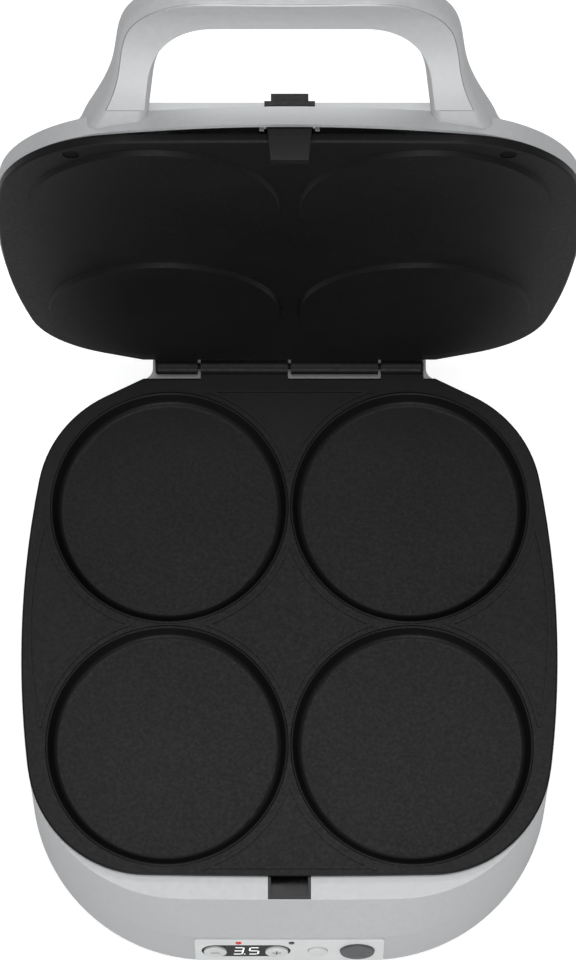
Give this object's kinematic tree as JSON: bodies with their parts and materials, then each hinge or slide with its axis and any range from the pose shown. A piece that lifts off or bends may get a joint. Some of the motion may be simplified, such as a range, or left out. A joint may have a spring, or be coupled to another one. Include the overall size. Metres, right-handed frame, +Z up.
{
  "type": "pancake maker",
  "caption": "Countertop pancake maker with round wells, a hinged lid with a loop handle, a press latch and a control panel on its front.",
  "frame": {"origin": "on the worktop, under the middle of the object's box with the lid open", "axes": "+Z up, +X to the cook's right, -Y towards the cook"},
  "size_m": [0.272, 0.3648, 0.3833],
  "materials": {
    "silver_case": "satin silver lacquer on moulded plastic",
    "pale_fascia": "pale silver panel",
    "black_gloss": "glossy black",
    "black_moulding": "black moulded plastic",
    "black_rubber": "rubber feet",
    "coated_casting": "die-cast aluminium with a black non-stick coating",
    "element_sheath": "steel sheath",
    "shield_sheet": "pressed sheet",
    "fuse_sleeve": "glass fibre sleeve",
    "steel": "zinc plated",
    "board": "printed circuit board",
    "red_lens": "red lens",
    "dark_lens": "unlit lens",
    "pale_key": "silver key cap",
    "grey_key": "dark grey key cap"
  },
  "bodies": {
    "base": {"base_tray": "silver_case", "base_surround": "silver_case", "control_fascia": "pale_fascia", "display_window": "black_gloss", "control_board": "board", "power_led": "red_lens", "ready_led": "dark_lens", "power_board": "board", "latch_catch": "black_gloss", "cord_gland": "black_moulding", "feet": "black_rubber", "lower_plate": "coated_casting", "lower_heater": "element_sheath", "lower_shield": "shield_sheet", "lower_sensor": "shield_sheet", "lower_fuse": "fuse_sleeve", "base_screws": "steel", "hinge_pin": "steel"},
    "lid": {"lid_shell": "silver_case", "handle_cover": "silver_case", "upper_plate": "coated_casting", "upper_heater": "element_sheath", "upper_shield": "shield_sheet", "upper_sensor": "shield_sheet", "upper_fuse": "fuse_sleeve", "plate_screws": "steel", "latch_bezel": "black_moulding", "latch_pin": "steel", "latch_spring": "steel"},
    "latch": {"latch": "black_moulding"},
    "minus_key": {"minus_button": "pale_key"},
    "plus_key": {"plus_button": "pale_key"},
    "extra_key": {"extra_button": "pale_key"},
    "start_key": {"start_button": "grey_key"}
  },
  "joints": [
    {"name": "lid_hinge", "type": "hinge", "parent": "base", "child": "lid", "pos_m": [0, 0.11126, 0.0628], "axis": [-1, 0, 0], "range_deg": [-95, 0]},
    {"name": "latch_pivot", "type": "hinge", "parent": "lid", "child": "latch", "pos_m": [0, 0.14255, 0.31604], "axis": [1, 0, 0], "range_deg": [0, 4], "stiffness_Nm_per_rad": 0.15, "springref_deg": -4.58},
    {"name": "minus_press", "type": "slide", "parent": "base", "child": "minus_key", "axis": [0, 0.9578, -0.2873], "range_m": [0, 0.0008], "stiffness_N_per_m": 800, "springref_m": -0.0008},
    {"name": "plus_press", "type": "slide", "parent": "base", "child": "plus_key", "axis": [0, 0.9578, -0.2873], "range_m": [0, 0.0008], "stiffness_N_per_m": 800, "springref_m": -0.0008},
    {"name": "extra_press", "type": "slide", "parent": "base", "child": "extra_key", "axis": [0, 0.9578, -0.2873], "range_m": [0, 0.0008], "stiffness_N_per_m": 800, "springref_m": -0.0008},
    {"name": "start_press", "type": "slide", "parent": "base", "child": "start_key", "axis": [0, 0.9578, -0.2873], "range_m": [0, 0.0008], "stiffness_N_per_m": 800, "springref_m": -0.0008}
  ]
}
